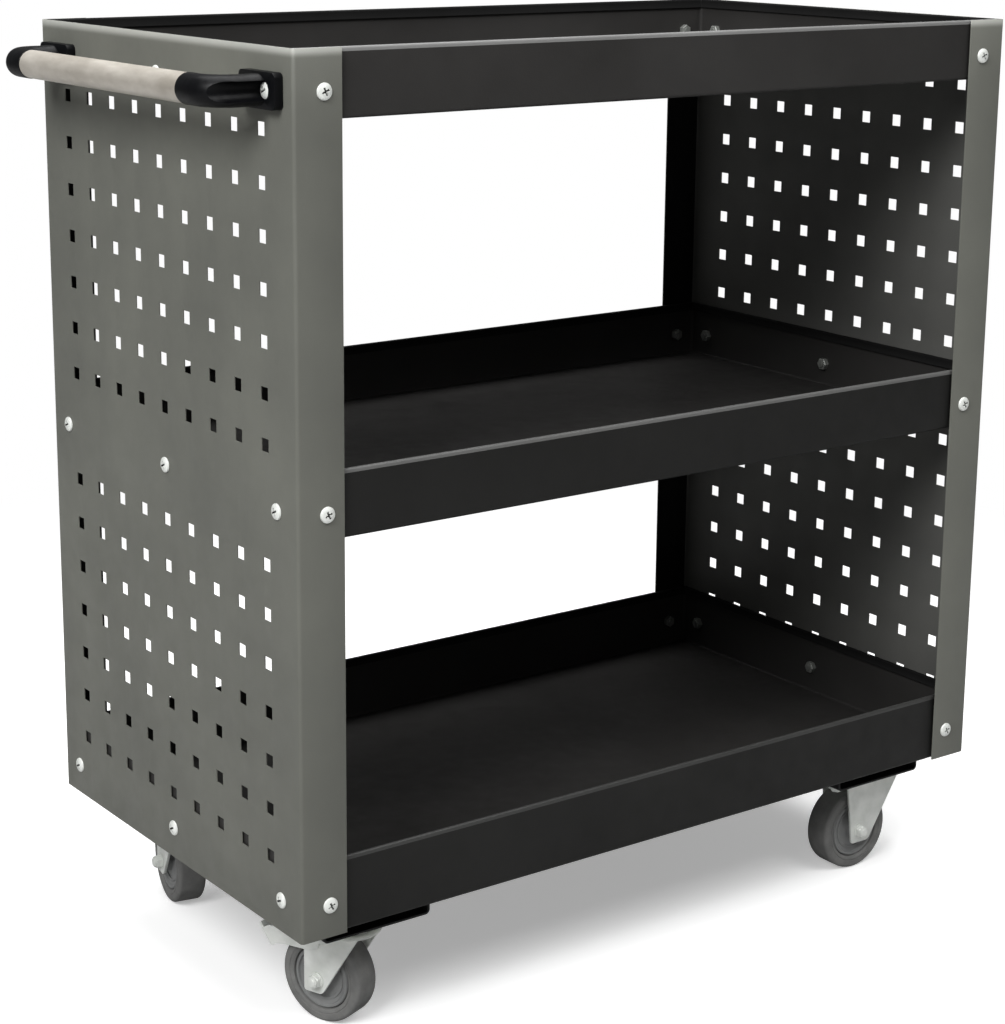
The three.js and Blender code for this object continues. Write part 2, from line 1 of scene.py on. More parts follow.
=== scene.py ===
import json
import math

import bmesh
import bpy
from mathutils import Matrix, Vector


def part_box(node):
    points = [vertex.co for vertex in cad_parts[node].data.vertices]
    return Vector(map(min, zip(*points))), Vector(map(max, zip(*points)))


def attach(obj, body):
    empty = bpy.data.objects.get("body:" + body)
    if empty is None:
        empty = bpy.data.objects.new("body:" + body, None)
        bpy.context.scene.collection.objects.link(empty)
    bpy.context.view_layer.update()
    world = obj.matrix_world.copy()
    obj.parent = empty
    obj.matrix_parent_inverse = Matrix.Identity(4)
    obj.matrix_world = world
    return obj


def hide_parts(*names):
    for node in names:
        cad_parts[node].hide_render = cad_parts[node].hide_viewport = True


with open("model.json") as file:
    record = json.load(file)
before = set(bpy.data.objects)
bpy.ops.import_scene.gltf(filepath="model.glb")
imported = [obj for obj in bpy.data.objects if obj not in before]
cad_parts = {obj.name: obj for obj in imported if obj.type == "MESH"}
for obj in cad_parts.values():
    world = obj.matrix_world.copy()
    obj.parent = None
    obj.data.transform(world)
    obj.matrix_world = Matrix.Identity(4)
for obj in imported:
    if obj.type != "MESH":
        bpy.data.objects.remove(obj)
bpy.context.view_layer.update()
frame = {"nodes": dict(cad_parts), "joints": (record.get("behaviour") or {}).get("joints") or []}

MM = 0.001
SHEET = 1.2 * MM
CAD_GAP = 0.3 * MM  # clearance that the frame keeps between touching pieces
SHEET_EDGE = 0.3 * MM  # rounding along the cut edges of folded sheet

# ---- places read from the frame ------------------------------------------------------

left_low, left_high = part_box("side_panel_left")
right_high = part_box("side_panel_right")[1]
CENTRE = Vector(((left_low.x + right_high.x) / 2, (left_low.y + left_high.y) / 2, 0))
HALF_LENGTH = (right_high.x - left_low.x) / 2
HALF_DEPTH = (left_high.y - left_low.y) / 2
PANEL_LOW, PANEL_HIGH = left_low.z, left_high.z
JOINTS = {joint["name"]: joint for joint in frame["joints"]}
SIDES = (("left", -1), ("right", 1))
ENDS = (("front", -1), ("rear", 1))
TRAYS = ("top", "middle", "bottom")
X_AXIS, Y_AXIS, Z_AXIS = Vector((1, 0, 0)), Vector((0, 1, 0)), Vector((0, 0, 1))


# ---- materials -----------------------------------------------------------------------

def to_linear(value):
    """One sRGB channel, 0 to 255, as linear light."""
    value /= 255
    return value / 12.92 if value <= 0.04045 else ((value + 0.055) / 1.055) ** 2.4


def rgb(red, green, blue):
    return (to_linear(red), to_linear(green), to_linear(blue), 1)


def noise_ramp(nodes, links, coordinates, scale, low, high, detail=4):
    """Noise at a scale, spread over low to high."""
    noise = nodes.new("ShaderNodeTexNoise")
    noise.inputs["Scale"].default_value = scale
    noise.inputs["Detail"].default_value = detail
    links.new(coordinates, noise.inputs["Vector"])
    spread = nodes.new("ShaderNodeMapRange")
    spread.inputs["From Min"].default_value = 0.3
    spread.inputs["From Max"].default_value = 0.7
    spread.inputs["To Min"].default_value = low
    spread.inputs["To Max"].default_value = high
    links.new(noise.outputs["Fac"], spread.inputs["Value"])
    return spread.outputs["Result"]


def finish(name, dark, light, roughness, metallic=0.0, patch=9, grain=900, bump=0.05,
           stretch=(1, 1, 1), wear_and_edge_highlight=None, specular=0.5, rim=None):
    """Colour drifting between two tones, uneven gloss, a fine surface grain, edges lighter partly
    as wear and partly as a painted highlight.

    A rim (low, high, colour) fades to its colour between two heights: a painted highlight for
    light caught on a rounded top edge.
    """
    material = bpy.data.materials.new(name)
    material.use_nodes = True
    nodes, links = material.node_tree.nodes, material.node_tree.links
    shader = nodes["Principled BSDF"]
    shader.inputs["Metallic"].default_value = metallic
    shader.inputs["Specular IOR Level"].default_value = specular
    texture = nodes.new("ShaderNodeTexCoord")
    mapping = nodes.new("ShaderNodeMapping")
    mapping.inputs["Scale"].default_value = stretch
    links.new(texture.outputs["Object"], mapping.inputs["Vector"])
    place = mapping.outputs["Vector"]
    tones = nodes.new("ShaderNodeMix")
    tones.data_type = "RGBA"
    tones.inputs["A"].default_value = dark
    tones.inputs["B"].default_value = light
    links.new(noise_ramp(nodes, links, place, patch, 0, 1), tones.inputs["Factor"])
    colour = tones.outputs["Result"]
    # Lighter where the surface is sharply curved: partly wear, partly a painted highlight along
    # the edges.
    if wear_and_edge_highlight:
        edge_tint = nodes.new("ShaderNodeMix")
        edge_tint.data_type = "RGBA"
        edge_tint.inputs["B"].default_value = wear_and_edge_highlight
        geometry = nodes.new("ShaderNodeNewGeometry")
        edge = nodes.new("ShaderNodeMapRange")
        edge.inputs["From Min"].default_value = 0.53
        edge.inputs["From Max"].default_value = 0.62
        edge.inputs["To Max"].default_value = 0.5
        links.new(geometry.outputs["Pointiness"], edge.inputs["Value"])
        links.new(edge.outputs["Result"], edge_tint.inputs["Factor"])
        links.new(colour, edge_tint.inputs["A"])
        colour = edge_tint.outputs["Result"]
    # Painted highlight: a lighter band faded in towards the top, in place of light on a rounded
    # edge.
    if rim:
        faded = nodes.new("ShaderNodeMix")
        faded.data_type = "RGBA"
        faded.inputs["B"].default_value = rim[2]
        heights = nodes.new("ShaderNodeSeparateXYZ")
        rise = nodes.new("ShaderNodeMapRange")
        rise.interpolation_type = "SMOOTHSTEP"
        rise.inputs["From Min"].default_value = rim[0]
        rise.inputs["From Max"].default_value = rim[1]
        links.new(texture.outputs["Object"], heights.inputs["Vector"])
        links.new(heights.outputs["Z"], rise.inputs["Value"])
        links.new(rise.outputs["Result"], faded.inputs["Factor"])
        links.new(colour, faded.inputs["A"])
        colour = faded.outputs["Result"]
    links.new(colour, shader.inputs["Base Color"])
    gloss = noise_ramp(nodes, links, place, patch * 6, roughness * 0.85, roughness * 1.15)
    links.new(gloss, shader.inputs["Roughness"])
    relief = nodes.new("ShaderNodeBump")
    relief.inputs["Strength"].default_value = bump
    relief.inputs["Distance"].default_value = 0.1 * MM
    links.new(noise_ramp(nodes, links, place, grain, 0, 1, 2), relief.inputs["Height"])
    links.new(relief.outputs["Normal"], shader.inputs["Normal"])
    return material


# Panel paint, with a painted highlight in the top 7 mm where light catches the rounded top edge.
PANEL_GREY = finish("panel_grey", rgb(98, 99, 93), rgb(108, 109, 102), 0.5, bump=0.25,
                    wear_and_edge_highlight=rgb(134, 135, 128), specular=0.35,
                    rim=(PANEL_HIGH - 7 * MM, PANEL_HIGH - 0.5 * MM, rgb(172, 173, 167)))
# Painted shade: a darker copy of the panel paint for the webs' inner faces, where little light
# reaches.
WEB_PAINTED_SHADE = finish("web_painted_shade", rgb(83, 83, 81), rgb(94, 94, 91), 0.55, bump=0.25,
                    wear_and_edge_highlight=rgb(110, 110, 107), specular=0.2)
# Painted shade, near black: the flanges' inner faces and the top edges of the trays' back and
# right-hand walls, where almost no light reaches.
DEEP_PAINTED_SHADE = finish("deep_painted_shade", rgb(18, 18, 18), rgb(24, 24, 24), 0.6, bump=0.25,
                       wear_and_edge_highlight=rgb(48, 48, 48), specular=0.1)
TRAY_BLACK = finish("tray_black", rgb(44, 43, 42), rgb(52, 51, 50), 0.5, bump=0.25,
                    wear_and_edge_highlight=rgb(112, 112, 111), specular=0.2)
# Painted shade: a darker copy of the tray paint for the front walls of the middle and bottom
# trays, which get less light.
TRAY_WALL_SHADE = finish("tray_wall_painted_shade", rgb(27, 27, 26), rgb(32, 32, 31), 0.5, bump=0.25,
                   specular=0.2)
# Painted highlight: the bright band along each tray's front top edge, standing in for light on
# the rounded fold; weaker on the lower trays, where less light falls.
TRAY_RIM_HIGHLIGHTS = {
    "top": finish("top_rim_highlight", rgb(118, 118, 117), rgb(128, 128, 127), 0.45, bump=0.1),
    "middle": finish("middle_rim_highlight", rgb(94, 94, 93), rgb(102, 102, 101), 0.45, bump=0.1),
    "bottom": finish("bottom_rim_highlight", rgb(48, 48, 47), rgb(54, 54, 53), 0.45, bump=0.1),
}
CHANNEL_BLACK = finish("channel_black", rgb(24, 24, 24), rgb(30, 30, 30), 0.5, bump=0.25,
                       wear_and_edge_highlight=rgb(70, 70, 70), specular=0.2)
ZINC = finish("zinc", rgb(222, 225, 220), rgb(244, 246, 242), 0.38, 0.15, patch=60,
              grain=1400, bump=0.08)
# Painted shade: a darker copy of the zinc for the nuts and thread ends, which sit inside the
# trays out of the light.
NUT_ZINC_SHADE = finish("nut_zinc_painted_shade", rgb(112, 114, 111), rgb(134, 136, 132), 0.4, 0.3, patch=60,
                  grain=1400, bump=0.08)
# Painted shade: the dark inside of the screw heads' cross recesses and the middle of the axle
# heads.
RECESS_PAINTED_SHADE = finish("recess_painted_shade", rgb(34, 34, 33), rgb(46, 46, 45), 0.6, patch=60,
                     grain=1400, bump=0.08, specular=0.2)
HANDLE_SILVER = finish("handle_silver", rgb(178, 171, 160), rgb(214, 208, 198), 0.42, 0.45,
                       patch=70, grain=700, bump=0.12, stretch=(1, 0.35, 1))
BRACKET_BLACK = finish("bracket_black", rgb(7, 7, 9), rgb(12, 13, 15), 0.4, patch=40,
                       grain=2200, bump=0.2, specular=0.15)
PAD_BLACK = finish("pad_black", rgb(16, 16, 16), rgb(24, 24, 24), 0.7, patch=60,
                   grain=1600, bump=0.25, specular=0.2)
HUB_GREY = finish("hub_grey", rgb(122, 123, 123), rgb(138, 139, 138), 0.55, patch=50,
                  grain=1500, bump=0.15, specular=0.35)
TYRE_GREY = finish("tyre_grey", rgb(108, 108, 107), rgb(126, 126, 124), 0.75, patch=80,
                   grain=1100, bump=0.3, specular=0.3)


# ---- mesh helpers --------------------------------------------------------------------

def new_object(name, verts, faces):
    mesh = bpy.data.meshes.new(name)
    mesh.from_pydata([tuple(v) for v in verts], [], faces)
    mesh.update()
    item = bpy.data.objects.new(name, mesh)
    bpy.context.scene.collection.objects.link(item)
    work = bmesh.new()
    work.from_mesh(mesh)
    bmesh.ops.remove_doubles(work, verts=work.verts, dist=1e-7)
    bmesh.ops.recalc_face_normals(work, faces=work.faces)
    work.to_mesh(mesh)
    work.free()
    return item


def settle(item):
    """Turns an object's modifiers into its mesh."""
    depsgraph = bpy.context.evaluated_depsgraph_get()
    depsgraph.update()
    mesh = bpy.data.meshes.new_from_object(item.evaluated_get(depsgraph))
    item.modifiers.clear()
    item.data = mesh
    return item


def combine(item, tool, operation):
    """Joins, cuts or intersects, and uses up the tool."""
    change = item.modifiers.new("combine", "BOOLEAN")
    change.operation = operation
    change.solver = "EXACT"
    change.object = tool
    settle(item)
    bpy.data.objects.remove(tool)
    return item


def solidify(item, thickness):
    change = item.modifiers.new("thickness", "SOLIDIFY")
    change.thickness = thickness
    change.offset = 0
    change.use_even_offset = True
    return settle(item)


def soften(item, width, segments=2, angle=35):
    """Rounds an object's sharp edges and shades it smooth between those left."""
    if width:
        change = item.modifiers.new("edges", "BEVEL")
        change.width = width
        change.segments = segments
        change.limit_method = "ANGLE"
        change.angle_limit = math.radians(angle)
        change.use_clamp_overlap = True
        settle(item)
    item.data.shade_smooth()
    item.data.set_sharp_from_angle(angle=math.radians(angle))
    return item


def join(items):
    """Several shells as one object."""
    work = bmesh.new()
    for item in items:
        work.from_mesh(item.data)
    mesh = bpy.data.meshes.new(items[0].name)
    work.to_mesh(mesh)
    work.free()
    for item in items[1:]:
        bpy.data.objects.remove(item)
    items[0].data = mesh
    return items[0]


def ring_faces(rings, size, closed_rings=False):
    """Quads between successive rings of equal size."""
    faces = []
    pairs = rings if closed_rings else rings - 1
    for ring in range(pairs):
        following = (ring + 1) % rings
        for k in range(size):
            after = (k + 1) % size
            faces.append((ring * size + k, ring * size + after,
                          following * size + after, following * size + k))
    return faces


def turned(name, profile, axis=Z_AXIS, sides=64, loop=False):
    """A profile of (radius, height) points in mm turned about an axis. Ends are capped."""
    turn = Z_AXIS.rotation_difference(axis).to_matrix()
    verts = []
    for radius, height in profile:
        for k in range(sides):
            angle = 2 * math.pi * (k + 0.5) / sides
            point = (radius * math.cos(angle), radius * math.sin(angle), height)
            verts.append(turn @ Vector(point) * MM)
    faces = ring_faces(len(profile), sides, loop)
    if not loop:
        faces.append(tuple(range(sides)))
        faces.append(tuple(range((len(profile) - 1) * sides, len(profile) * sides)))
    return new_object(name, verts, faces)


def prism(name, outline, direction, low, high):
    """An outline in mm, raised along Y ("y", outline in XZ) or Z ("z", outline in XY)."""
    def at(point, level):
        a, b = point
        return Vector((a, level, b) if direction == "y" else (a, b, level)) * MM
    count = len(outline)
    verts = [at(point, level) for level in (low, high) for point in outline]
    faces = ring_faces(2, count)
    faces += [tuple(range(count)), tuple(range(count, 2 * count))]
    return new_object(name, verts, faces)


def arc(centre, radius, start, end, steps=8):
    """Points on an arc, angles in degrees."""
    points = []
    for k in range(steps + 1):
        angle = math.radians(start + (end - start) * k / steps)
        points.append((centre[0] + radius * math.cos(angle),
                       centre[1] + radius * math.sin(angle)))
    return points


def rounded(half_x, half_y, radius, steps=6):
    """A rectangle with rounded corners, anticlockwise from the lower right."""
    x, y = half_x - radius, half_y - radius
    return (arc((x, -y), radius, -90, 0, steps) + arc((x, y), radius, 0, 90, steps)
            + arc((-x, y), radius, 90, 180, steps) + arc((-x, -y), radius, 180, 270, steps))


def own(item, material, body, replaced=()):
    if not item.data.materials:
        item.data.materials.append(material)
    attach(item, body)
    if replaced:
        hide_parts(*replaced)
    return item


def moved(item, matrix):
    item.data.transform(matrix)
    item.data.update()
    return item


# ---- perforated side panels ----------------------------------------------------------

PEG_PITCH = 38 * MM
PEG_HOLE = 10 * MM
PEG_COLUMNS, PEG_ROWS = 9, 7
PEG_FIELDS = (714 * MM, 396 * MM)  # heights of the two fields' top rows
PANEL_BEND = 3 * MM
FLANGE = left_high.x - left_low.x
PEG_YS = [(k - (PEG_COLUMNS - 1) / 2) * PEG_PITCH for k in range(PEG_COLUMNS)]
PEG_ZS = [top - k * PEG_PITCH for top in PEG_FIELDS for k in range(PEG_ROWS)]


def panel(name, sign):
    """Sheet folded to a channel: a grid over flange, bend, web, bend, flange."""
    face = HALF_LENGTH - SHEET / 2
    edge = HALF_DEPTH - SHEET / 2
    bend = PANEL_BEND - SHEET / 2
    inner = HALF_LENGTH - FLANGE
    column = [(inner, -edge)]
    column += arc((face - bend, -edge + bend), bend, -90, 0, 6)
    holes_y = set()
    for y in PEG_YS:
        holes_y.add(len(column))
        column += [(face, y - PEG_HOLE / 2), (face, y + PEG_HOLE / 2)]
    column += arc((face - bend, edge - bend), bend, 0, 90, 6)
    column.append((inner, edge))
    rows = [PANEL_LOW]
    holes_z = set()
    for z in sorted(PEG_ZS):
        holes_z.add(len(rows))
        rows += [z - PEG_HOLE / 2, z + PEG_HOLE / 2]
    rows.append(PANEL_HIGH)
    verts = [CENTRE + Vector((sign * x, y, z)) for z in rows for x, y in column]
    width = len(column)
    faces = []
    for j in range(len(rows) - 1):
        for i in range(width - 1):
            if i in holes_y and j in holes_z:
                continue
            corner = j * width + i
            faces.append((corner, corner + 1, corner + width + 1, corner + width))
    item = solidify(new_object(f"panel_{name}", verts, faces), SHEET)
    soften(item, SHEET_EDGE)
    own(item, PANEL_GREY, "frame", [f"side_panel_{name}"])
    # Painted shade on the inner faces: the web's inside and the flanges' inner faces get darker
    # copies of the paint.
    item.data.materials.append(WEB_PAINTED_SHADE)
    item.data.materials.append(DEEP_PAINTED_SHADE)
    for face in item.data.polygons:
        place, way = face.center - CENTRE, face.normal
        if way.x * sign < -0.5 and place.x * sign > HALF_LENGTH - PANEL_BEND:
            face.material_index = 1
        # Painted shade: the flanges' inner faces are near black.
        elif way.y * place.y < 0 and abs(place.y) > edge - PANEL_BEND and abs(way.y) > 0.5:
            face.material_index = 2


for side_name, side_sign in SIDES:
    panel(side_name, side_sign)


# ---- trays ---------------------------------------------------------------------------

TRAY_CORNER = 4.5 * MM
TRAY_BEND = 2.4 * MM
TRAY_FLOOR_STRIP = 4 * MM  # flat strip between the fold and the floor's one large face
TRAY_LEAST_CORNER = 0.4 * MM
HEM = 3.6 * MM  # thickness of the folded top edge
HEM_DROP = 8 * MM  # how far the fold reaches down
RIM = 3.4 * MM  # depth of the painted highlight band along the front edge


def tray(name):
    """A pan with walls all round, folded along the floor and hemmed at the top."""
    low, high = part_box(f"tray_{name}")
    half_x, half_y = (high.x - low.x) / 2, (high.y - low.y) / 2
    wall = high.z - low.z
    skin = SHEET / 2
    fold = (HEM - SHEET) / 2
    section = [(skin + TRAY_BEND + TRAY_FLOOR_STRIP, skin)]
    section += [(skin + TRAY_BEND - a, skin + TRAY_BEND - b)
                for a, b in arc((0, 0), TRAY_BEND, 90, 0, 6)]
    section.append((skin, wall - RIM))
    section += [(skin + fold - a, wall - skin - fold + b)
                for a, b in arc((0, 0), fold, 0, 180, 10)]
    section.append((HEM - skin, wall - HEM_DROP))
    centre = Vector(((low.x + high.x) / 2, (low.y + high.y) / 2, low.z))
    verts = []
    for inset, height in section:
        radius = max(TRAY_CORNER - inset, TRAY_LEAST_CORNER)
        for x, y in rounded(half_x - inset, half_y - inset, radius, 6):
            verts.append(centre + Vector((x, y, height)))
    size = len(verts) // len(section)
    faces = ring_faces(len(section), size)
    faces.append(tuple(range(size)))
    item = solidify(new_object(f"pan_{name}", verts, faces), SHEET)
    soften(item, 0)
    own(item, TRAY_BLACK, "frame", [f"tray_{name}"])
    for extra in (TRAY_RIM_HIGHLIGHTS[name], DEEP_PAINTED_SHADE, TRAY_WALL_SHADE):
        item.data.materials.append(extra)
    for face in item.data.polygons:
        place, way = face.center - centre, face.normal
        at_front, at_back = place.y < -half_y + HEM, place.y > half_y - HEM - SHEET
        # Painted highlight along the front top edge.
        if at_front and place.z > wall - RIM and (way.y < -0.2 or way.z > 0.4):
            face.material_index = 1
        # Painted shade: the top edges of the back and right-hand walls are near black.
        elif place.z > wall - HEM_DROP - MM and (
                (at_back and way.y < 0.5) or (place.x > half_x - HEM - SHEET and way.x < 0.5)):
            face.material_index = 2
        # Painted shade on the front walls of the lower trays.
        elif at_front and way.y < -0.5 and name != "top":
            face.material_index = 3


for tray_name in TRAYS:
    tray(tray_name)


# ---- caster channels -----------------------------------------------------------------

# Lengths written as bare numbers, from here to the floor, are in millimetres.
CHANNEL_SHEET = 2
CHANNEL_BEND = 3


def channel(name):
    low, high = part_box(f"caster_channel_{name}")
    half = (high.x - low.x) / 2 / MM - CHANNEL_SHEET / 2
    height = (high.z - low.z) / MM
    floor = CHANNEL_SHEET / 2
    line = [(-half, height)]
    line += arc((-half + CHANNEL_BEND, floor + CHANNEL_BEND), CHANNEL_BEND, 180, 270, 5)
    line += arc((half - CHANNEL_BEND, floor + CHANNEL_BEND), CHANNEL_BEND, 270, 360, 5)
    line.append((half, height))
    ends = (low.y, high.y)
    middle = (low.x + high.x) / 2
    verts = [Vector((middle + x * MM, y, low.z + z * MM)) for y in ends for x, z in line]
    count = len(line)
    faces = [(k, k + 1, count + k + 1, count + k) for k in range(count - 1)]
    item = solidify(new_object(f"channel_{name}", verts, faces), CHANNEL_SHEET * MM)
    soften(item, SHEET_EDGE)
    own(item, CHANNEL_BLACK, "frame", [f"caster_channel_{name}"])


for side_name, _ in SIDES:
    channel(side_name)


# ---- handle --------------------------------------------------------------------------

tube_low, tube_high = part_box("handle_tube")
TUBE = Vector(((tube_low.x + tube_high.x) / 2, CENTRE.y, (tube_low.z + tube_high.z) / 2))
TUBE_RADIUS = (tube_high.x - tube_low.x) / 2 / MM
TUBE_HALF = (tube_high.y - tube_low.y) / 2 / MM
TUBE_WALL = 1.5
ARM_RADIUS = 11.4
ARM_Y = 161  # where the arm meets the panel, from the middle
ELBOW_BEND = 18
FOOT_START = 135  # foot's near end from the middle
FOOT_THICK = 7
FOOT_RECESS = 3
SPIGOT = 8  # depth of the bracket's spigot in the tube
SPIGOT_RADIUS = 9
SHOULDER = 0.5  # chamfer where the elbow meets the tube
SCREW_HEAD = 6.2  # radius of the pan head
SCREW_RISE = 2.6  # height of the pan head
SCREW_SHANK = 2.9
SIDE_SCREW_Y = 168
RECESS_CLEARANCE = 1.2  # round the screw's head
DRIVER_WAY = 40  # the screwdriver's way is cut from this far out
FOOT_CORNER = 4
BRACKET_SIDES = 48
ELBOW_STEPS = 12

tube = turned("tube", [
    (TUBE_RADIUS, -TUBE_HALF), (TUBE_RADIUS, TUBE_HALF),
    (TUBE_RADIUS - TUBE_WALL, TUBE_HALF), (TUBE_RADIUS - TUBE_WALL, -TUBE_HALF),
], Y_AXIS, 72, loop=True)
moved(tube, Matrix.Translation(TUBE))
soften(tube, 0)
own(tube, HANDLE_SILVER, "frame", ["handle_tube"])


def elbow_stations(reach, straight, face):
    """Places and directions along the arm in (x out from the tube, y along it), mm."""
    stations = [((0, reach), (0, 1)), ((0, reach + SHOULDER), (0, 1)), ((0, straight), (0, 1))]
    for k in range(1, ELBOW_STEPS):
        angle = math.pi / 2 * k / ELBOW_STEPS
        stations.append(((ELBOW_BEND * (1 - math.cos(angle)),
                          straight + ELBOW_BEND * math.sin(angle)),
                         (math.sin(angle), math.cos(angle))))
    stations.append(((ELBOW_BEND, straight + ELBOW_BEND), (1, 0)))
    stations.append(((face, straight + ELBOW_BEND), (1, 0)))
    return stations


def bracket(name, sign):
    """Spigot and elbow swept round, a foot on the panel, a way in for the screw."""
    low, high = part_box(f"handle_bracket_{name}")
    face = (high.x - TUBE.x) / MM
    reach = TUBE_HALF + CAD_GAP / MM
    foot_end = (high.y - CENTRE.y if sign > 0 else CENTRE.y - low.y) / MM
    foot_half = (high.z - low.z) / 2 / MM
    sides = BRACKET_SIDES
    verts = []
    for place, direction in elbow_stations(reach, ARM_Y - ELBOW_BEND, face):
        across = (direction[1], -direction[0])
        radius = ARM_RADIUS if verts else ARM_RADIUS - SHOULDER
        for k in range(sides):
            angle = 2 * math.pi * k / sides
            out = radius * math.cos(angle)
            verts.append(Vector((place[0] + across[0] * out, place[1] + across[1] * out,
                                 radius * math.sin(angle))) * MM)
    faces = ring_faces(len(verts) // sides, sides)
    faces += [tuple(range(sides)), tuple(range(len(verts) - sides, len(verts)))]
    item = new_object(f"bracket_{name}", verts, faces)
    spigot = turned("spigot", [(SPIGOT_RADIUS - 1, TUBE_HALF - SPIGOT),
                               (SPIGOT_RADIUS, TUBE_HALF - SPIGOT + 1),
                               (SPIGOT_RADIUS, TUBE_HALF + 2)], Y_AXIS, sides)
    combine(item, spigot, "UNION")
    foot = prism("foot", rounded((foot_end - FOOT_START) / 2, foot_half, FOOT_CORNER),
                 "z", face - FOOT_THICK, face)
    turn = Matrix(((0, 0, 1, 0), (1, 0, 0, (FOOT_START + foot_end) / 2 * MM), (0, 1, 0, 0),
                   (0, 0, 0, 1)))
    moved(foot, turn)
    combine(item, foot, "UNION")
    recess_radius = SCREW_HEAD + RECESS_CLEARANCE
    recess = turned("recess", [(recess_radius, -DRIVER_WAY),
                               (recess_radius, face - FOOT_THICK + FOOT_RECESS)],
                    X_AXIS, 40)
    moved(recess, Matrix.Translation((0, SIDE_SCREW_Y * MM, 0)))
    combine(item, recess, "DIFFERENCE")
    moved(item, Matrix.Translation(TUBE) @ Matrix.Diagonal((1, sign, 1, 1)))
    if sign < 0:
        item.data.flip_normals()
    soften(item, 0.5 * MM, 2, 40)
    own(item, BRACKET_BLACK, "frame", [f"handle_bracket_{name}"])


for end_name, end_sign in ENDS:
    bracket(end_name, end_sign)


# ---- panel screws --------------------------------------------------------------------

NUT_RADIUS = 5.7
NUT_DEPTH = 4.6
TRAY_END_GAP = 0.9  # clearance between a tray's end walls and the panels
TRAY_SIDE_GAP = 2  # clearance between a tray's long walls and the flanges
STACK = (2 * SHEET + CAD_GAP) / MM + TRAY_END_GAP  # panel, tray wall, gaps between them
HEAD_EDGE = 0.5  # upright edge below the head's dome
HEAD_DOME = 2.1
THREAD_END = 1.5  # thread that stands past the nut
SLOT_HALF = 0.8  # half width of the cross recess's arms
SLOT_FOOT, SLOT_MOUTH = 2.2, 3.6  # the arms' reach at the bottom and above the head
SLOT_TURN = 25  # degrees
RECESS_RADIUS, RECESS_TOP = 3.4, 2  # the part of the head given painted shade, where the recess lies in shadow


def pan_screw(name, extra):
    """Pan head with a cross recess, shank, and nut; the head looks along +Z from z = 0."""
    head = [(SCREW_HEAD, 0), (SCREW_HEAD, HEAD_EDGE)]
    for degrees in (20, 35, 50, 65, 78):
        angle = math.radians(degrees)
        head.append((SCREW_HEAD * math.cos(angle), HEAD_EDGE + HEAD_DOME * math.sin(angle)))
    shank_end = -extra - STACK - NUT_DEPTH - THREAD_END
    item = turned(name, [(SCREW_SHANK, shank_end), (SCREW_SHANK, 0)] + head, Z_AXIS, 48)
    for turn in (0, 90):
        slot = prism("slot", [(-SLOT_MOUTH, SCREW_RISE + 1), (-SLOT_FOOT, HEAD_EDGE),
                              (SLOT_FOOT, HEAD_EDGE), (SLOT_MOUTH, SCREW_RISE + 1)],
                     "y", -SLOT_HALF, SLOT_HALF)
        moved(slot, Matrix.Rotation(math.radians(turn + SLOT_TURN), 4, "Z"))
        combine(item, slot, "DIFFERENCE")
    nut_top = -extra - STACK
    nut_end = nut_top - NUT_DEPTH
    nut = turned("nut", [(SCREW_SHANK, nut_end), (NUT_RADIUS - 0.7, nut_end),
                         (NUT_RADIUS, nut_end + 0.5), (NUT_RADIUS, nut_top),
                         (SCREW_SHANK, nut_top)], Z_AXIS, 6, loop=True)
    item = join([item, nut])
    for material in (ZINC, NUT_ZINC_SHADE, RECESS_PAINTED_SHADE):
        item.data.materials.append(material)
    for face in item.data.polygons:
        place = face.center / MM
        # Painted shade below the head: the nut and thread end take the darker zinc.
        if place.z < -0.5:
            face.material_index = 1
        # Painted shade in the cross recess.
        elif 0.3 < place.z < RECESS_TOP and math.hypot(place.x, place.y) < RECESS_RADIUS:
            face.material_index = 2
    return soften(item, 0, angle=28).data


def put_screw(name, mesh, head, out, replaced):
    item = bpy.data.objects.new(name, mesh)
    bpy.context.scene.collection.objects.link(item)
    item.matrix_world = Matrix.Translation(head) @ (
        Z_AXIS.rotation_difference(out).to_matrix().to_4x4())
    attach(item, "frame")
    if replaced:
        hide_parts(replaced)


def frame_screws():
    """Every screw in the frame, with its head's seat and the way it looks."""
    for node in frame["nodes"]:
        if "_screw_" not in node:
            continue
        low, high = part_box(node)
        words = node.split("_")
        if words[0] == "flange":
            out = Y_AXIS * (-1 if words[-1] == "front" else 1)
        else:
            out = X_AXIS * (1 if words[2] == "right" else -1)
        head = (low + high) / 2
        for k in range(3):
            if out[k]:
                head[k] = (high[k] if out[k] > 0 else low[k]) - out[k] * SCREW_RISE * MM
        yield node, head, out


SCREW_KINDS = {
    "side": pan_screw("side_kind", 0),
    "flange": pan_screw("flange_kind", TRAY_SIDE_GAP - TRAY_END_GAP),
    "handle": pan_screw("handle_kind", FOOT_THICK - FOOT_RECESS),
}
for kind in SCREW_KINDS:
    bpy.data.objects.remove(bpy.data.objects[f"{kind}_kind"])

screw_rows = {}
for node, head, out in list(frame_screws()):
    kind = node.split("_")[0]
    put_screw(node.replace("_screw_", "_fastener_"), SCREW_KINDS[kind], head, out, node)
    if kind != "flange":
        screw_rows.setdefault((out.x, round(head.z, 4)), []).append(head)

for (way, height), heads in screw_rows.items():
    outer = CENTRE.x + way * (HALF_LENGTH + CAD_GAP)
    side_name = "left" if way < 0 else "right"
    put_screw(f"side_fastener_{side_name}_{round(height / MM)}_centre",
              SCREW_KINDS["side"], Vector((outer, CENTRE.y, height)), X_AXIS * way, None)


# ---- casters -------------------------------------------------------------------------
# Built about the caster's own axis: x the way the wheel trails, y along the axle, z up.

